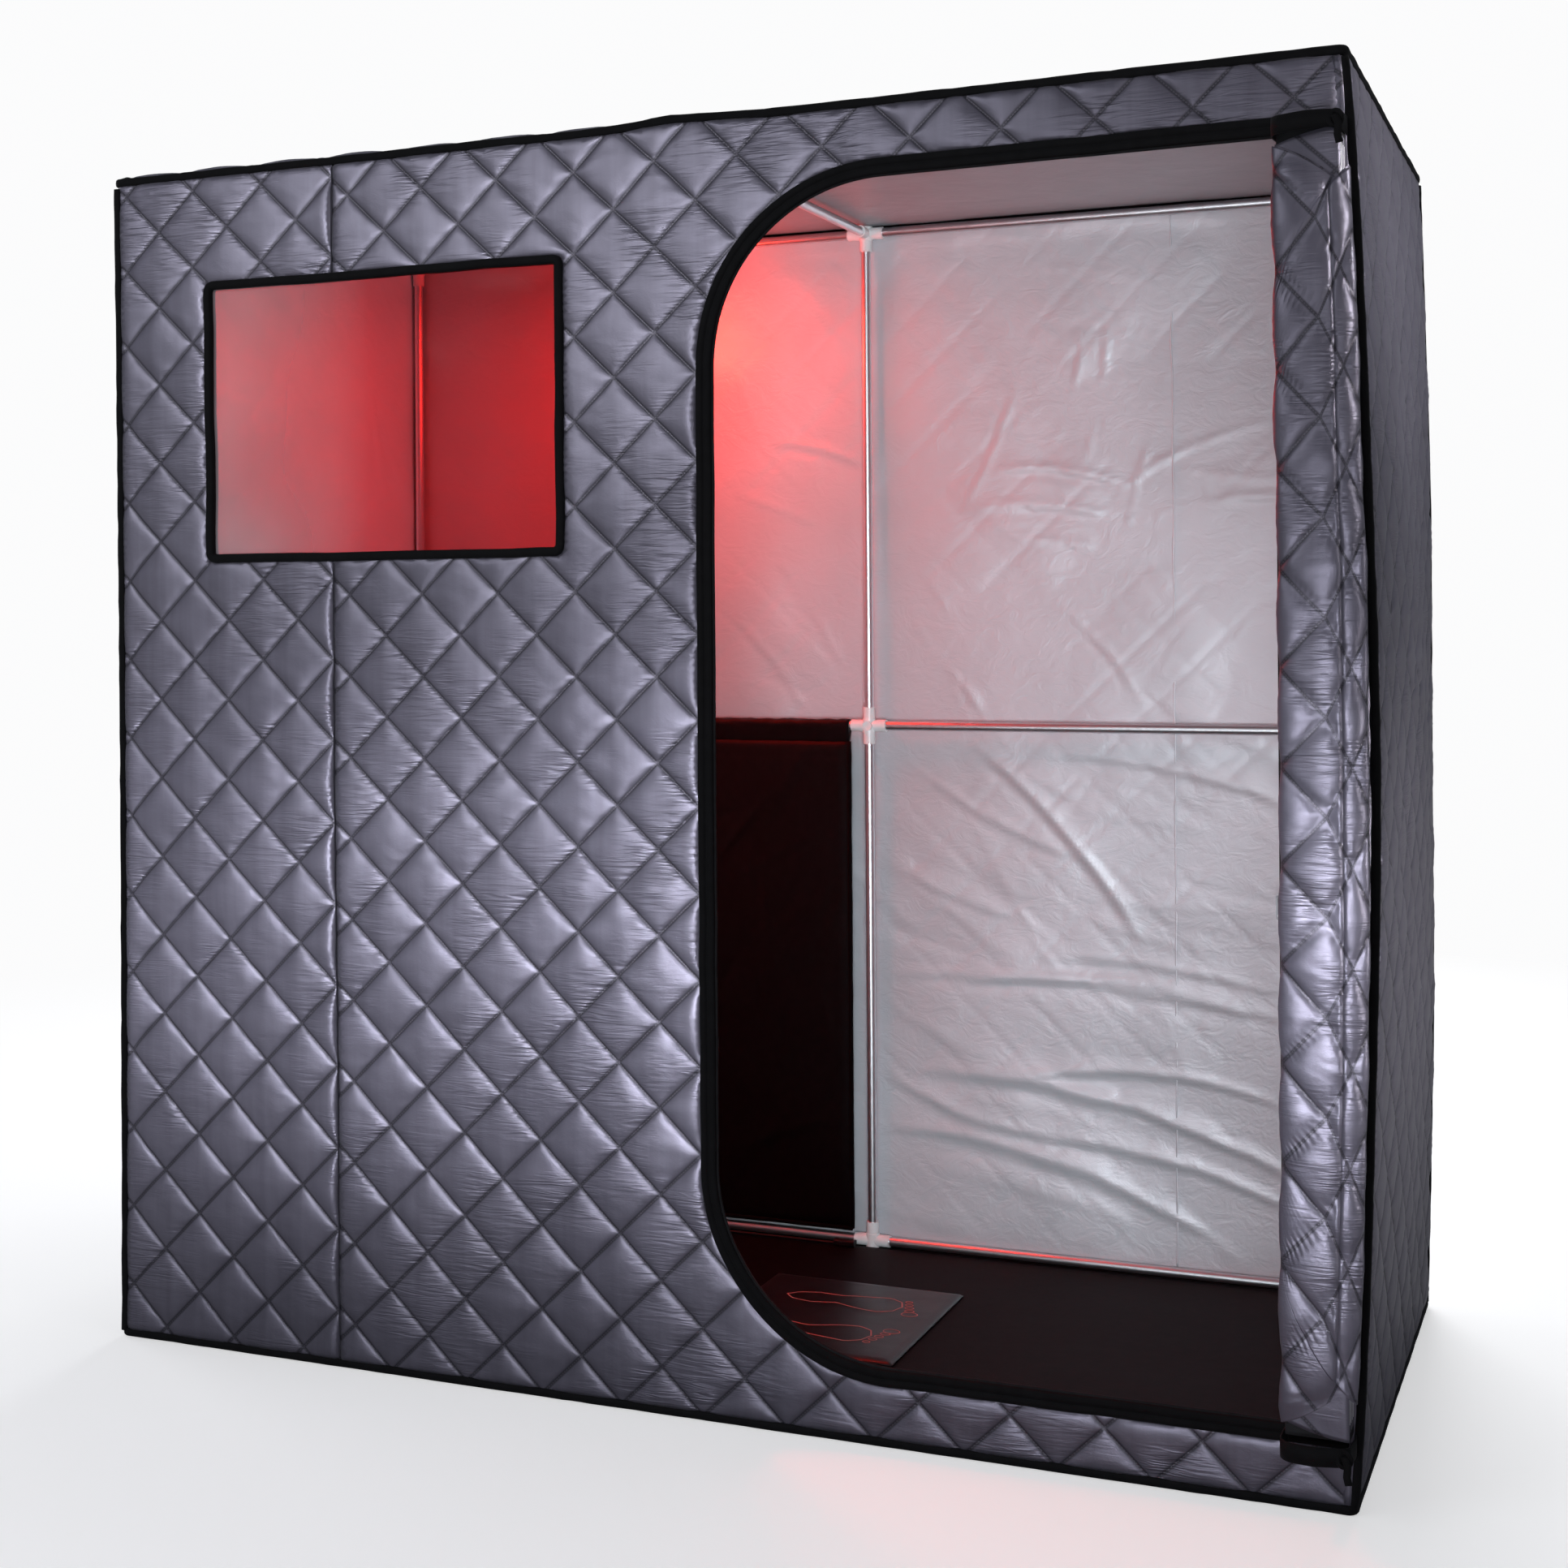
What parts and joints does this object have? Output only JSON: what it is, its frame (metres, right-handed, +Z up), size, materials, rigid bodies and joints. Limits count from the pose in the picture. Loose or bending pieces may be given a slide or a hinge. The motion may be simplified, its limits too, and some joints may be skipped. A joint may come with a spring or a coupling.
{
  "type": "portable sauna cabin",
  "caption": "Fabric sauna cabin: quilted cover over a tube frame, with a folding zip door tied back, a window, a hung heating panel, a foot warmer and a red ceiling lamp.",
  "frame": {"origin": "centre of the cabin's footprint, on the ground", "axes": "+X to the right seen from the door side, +Y to the back, +Z up"},
  "size_m": [1.8688, 0.9342, 1.8],
  "materials": {
    "steel_tube": "satin anodised tube",
    "connector_plastic": "translucent white moulded plastic",
    "quilt_fabric": "satin quilted polyester with padding",
    "lining_fabric": "silver-grey reflective satin lining",
    "binding_fabric": "black woven binding tape",
    "floor_fabric": "dark coated floor cloth",
    "clear_film": "clear flexible film",
    "zip_plastic": "black nylon coil",
    "zip_metal": "plated cast metal",
    "heater_fabric": "black felted cover cloth",
    "heater_film": "carbon heating film",
    "leatherette": "black grained leatherette",
    "lamp_plastic": "white moulded plastic",
    "lamp_lens": "red diffusing lens",
    "controller_plastic": "black moulded plastic",
    "button_plastic": "grey moulded plastic",
    "grommet_rubber": "black rubber",
    "cable_rubber": "black flexible lead"
  },
  "bodies": {
    "cabin": {"lower_posts": "steel_tube", "upper_posts": "steel_tube", "roof_long_rails": "steel_tube", "roof_short_rails": "steel_tube", "floor_rails": "steel_tube", "waist_rails": "steel_tube", "roof_corner_connectors": "connector_plastic", "floor_corner_connectors": "connector_plastic", "waist_corner_connectors": "connector_plastic", "roof_centre_connectors": "connector_plastic", "floor_centre_connectors": "connector_plastic", "waist_centre_connectors": "connector_plastic", "front_panel": "quilt_fabric", "back_panel": "quilt_fabric", "left_panel": "quilt_fabric", "right_panel": "quilt_fabric", "roof_panel": "quilt_fabric", "front_lining": "lining_fabric", "back_lining": "lining_fabric", "side_linings": "lining_fabric", "roof_lining": "lining_fabric", "floor_sheet": "floor_fabric", "floor_mat": "floor_fabric", "roof_edge_binding": "binding_fabric", "floor_edge_binding": "binding_fabric", "corner_edge_bindings": "binding_fabric", "window_binding": "binding_fabric", "window_pane": "clear_film", "doorway_binding": "binding_fabric", "doorway_zip_coil": "zip_plastic", "cable_port_grommet": "grommet_rubber", "lamp_hanger": "binding_fabric", "controller_case": "controller_plastic", "supply_leads": "cable_rubber"},
    "fold_01": {"door_fold_01": "quilt_fabric"},
    "fold_02": {"door_fold_02": "quilt_fabric"},
    "fold_03": {"door_fold_03": "quilt_fabric"},
    "fold_04": {"door_fold_04": "quilt_fabric"},
    "fold_05": {"door_fold_05": "quilt_fabric"},
    "fold_06": {"door_fold_06": "quilt_fabric"},
    "fold_07": {"door_fold_07": "quilt_fabric"},
    "fold_08": {"door_fold_08": "quilt_fabric"},
    "fold_09": {"door_fold_09": "quilt_fabric"},
    "fold_10": {"door_fold_10": "quilt_fabric"},
    "fold_11": {"door_fold_11": "quilt_fabric"},
    "zip_slider": {"zip_slider": "zip_metal"},
    "zip_pull": {"zip_pull": "zip_metal"},
    "upper_tie": {"upper_tie_strap": "binding_fabric"},
    "lower_tie": {"lower_tie_strap": "binding_fabric"},
    "heater": {"heater_cover": "heater_fabric", "heater_film": "heater_film", "heater_sleeve": "heater_fabric"},
    "foot_warmer": {"foot_mat": "leatherette", "foot_mat_lead": "cable_rubber"},
    "lamp": {"lamp_housing": "lamp_plastic", "lamp_lens": "lamp_lens"},
    "power_button": {"power_button": "button_plastic"},
    "heat_button": {"heat_button": "button_plastic"},
    "timer_button": {"timer_button": "button_plastic"}
  },
  "joints": [
    {"name": "door_swing", "type": "hinge", "parent": "cabin", "child": "fold_01", "pos_m": [0.931, -0.4352, 0.9], "axis": [0, 0, 1], "range_deg": [0, 95]},
    {"name": "door_unfold", "type": "hinge", "parent": "fold_01", "child": "fold_02", "pos_m": [0.8536, -0.4404, 0.9], "axis": [0, 0, -1], "range_deg": [0, 180]},
    {"name": "fold_03_crease", "type": "hinge", "parent": "fold_02", "child": "fold_03", "pos_m": [0.931, -0.4456, 0.9], "axis": [0, 0, 1], "range_deg": [0, 180]},
    {"name": "fold_04_crease", "type": "hinge", "parent": "fold_03", "child": "fold_04", "pos_m": [0.8536, -0.4508, 0.9], "axis": [0, 0, -1], "range_deg": [0, 180]},
    {"name": "fold_05_crease", "type": "hinge", "parent": "fold_04", "child": "fold_05", "pos_m": [0.931, -0.456, 0.9], "axis": [0, 0, 1], "range_deg": [0, 180]},
    {"name": "fold_06_crease", "type": "hinge", "parent": "fold_05", "child": "fold_06", "pos_m": [0.8536, -0.4612, 0.9], "axis": [0, 0, -1], "range_deg": [0, 180]},
    {"name": "fold_07_crease", "type": "hinge", "parent": "fold_06", "child": "fold_07", "pos_m": [0.931, -0.4664, 0.9], "axis": [0, 0, 1], "range_deg": [0, 180]},
    {"name": "fold_08_crease", "type": "hinge", "parent": "fold_07", "child": "fold_08", "pos_m": [0.8536, -0.4716, 0.9], "axis": [0, 0, -1], "range_deg": [0, 180]},
    {"name": "fold_09_crease", "type": "hinge", "parent": "fold_08", "child": "fold_09", "pos_m": [0.931, -0.4768, 0.9], "axis": [0, 0, 1], "range_deg": [0, 180]},
    {"name": "fold_10_crease", "type": "hinge", "parent": "fold_09", "child": "fold_10", "pos_m": [0.8536, -0.482, 0.9], "axis": [0, 0, -1], "range_deg": [0, 180]},
    {"name": "fold_11_crease", "type": "hinge", "parent": "fold_10", "child": "fold_11", "pos_m": [0.931, -0.4872, 0.9], "axis": [0, 0, 1], "range_deg": [0, 180]},
    {"name": "zip_travel", "type": "slide", "parent": "fold_11", "child": "zip_slider", "axis": [0, 0, 1], "range_m": [-0.39, 0.66]},
    {"name": "zip_pull_swing", "type": "hinge", "parent": "zip_slider", "child": "zip_pull", "pos_m": [0.8546, -0.4968, 0.76], "axis": [-1, 0, 0], "range_deg": [0, 90]},
    {"name": "upper_tie_swing", "type": "hinge", "parent": "cabin", "child": "upper_tie", "pos_m": [0.933, -0.4358, 1.697], "axis": [0, 0, 1], "range_deg": [0, 100]},
    {"name": "lower_tie_swing", "type": "hinge", "parent": "cabin", "child": "lower_tie", "pos_m": [0.933, -0.4358, 0.092], "axis": [0, 0, 1], "range_deg": [0, 100]},
    {"name": "heater_swing", "type": "hinge", "parent": "cabin", "child": "heater", "pos_m": [-0.455, 0.411, 0.916], "axis": [-1, 0, 0], "range_deg": [0, 25]},
    {"name": "foot_warmer_shift", "type": "slide", "parent": "cabin", "child": "foot_warmer", "axis": [1, 0, 0], "range_m": [-0.08, 0.12]},
    {"name": "lamp_tilt", "type": "hinge", "parent": "cabin", "child": "lamp", "pos_m": [-0.4, 0, 1.74], "axis": [0, 1, 0], "range_deg": [-30, 30]},
    {"name": "power_button_press", "type": "slide", "parent": "cabin", "child": "power_button", "axis": [0, -1, 0], "range_m": [0, 0.0015]},
    {"name": "heat_button_press", "type": "slide", "parent": "cabin", "child": "heat_button", "axis": [0, -1, 0], "range_m": [0, 0.0015]},
    {"name": "timer_button_press", "type": "slide", "parent": "cabin", "child": "timer_button", "axis": [0, -1, 0], "range_m": [0, 0.0015]}
  ],
  "couplings": [
    {"joint": "fold_03_crease", "follows": "door_unfold", "ratio": 1},
    {"joint": "fold_04_crease", "follows": "door_unfold", "ratio": 1},
    {"joint": "fold_05_crease", "follows": "door_unfold", "ratio": 1},
    {"joint": "fold_06_crease", "follows": "door_unfold", "ratio": 1},
    {"joint": "fold_07_crease", "follows": "door_unfold", "ratio": 1},
    {"joint": "fold_08_crease", "follows": "door_unfold", "ratio": 1},
    {"joint": "fold_09_crease", "follows": "door_unfold", "ratio": 1},
    {"joint": "fold_10_crease", "follows": "door_unfold", "ratio": 1},
    {"joint": "fold_11_crease", "follows": "door_unfold", "ratio": 1}
  ]
}
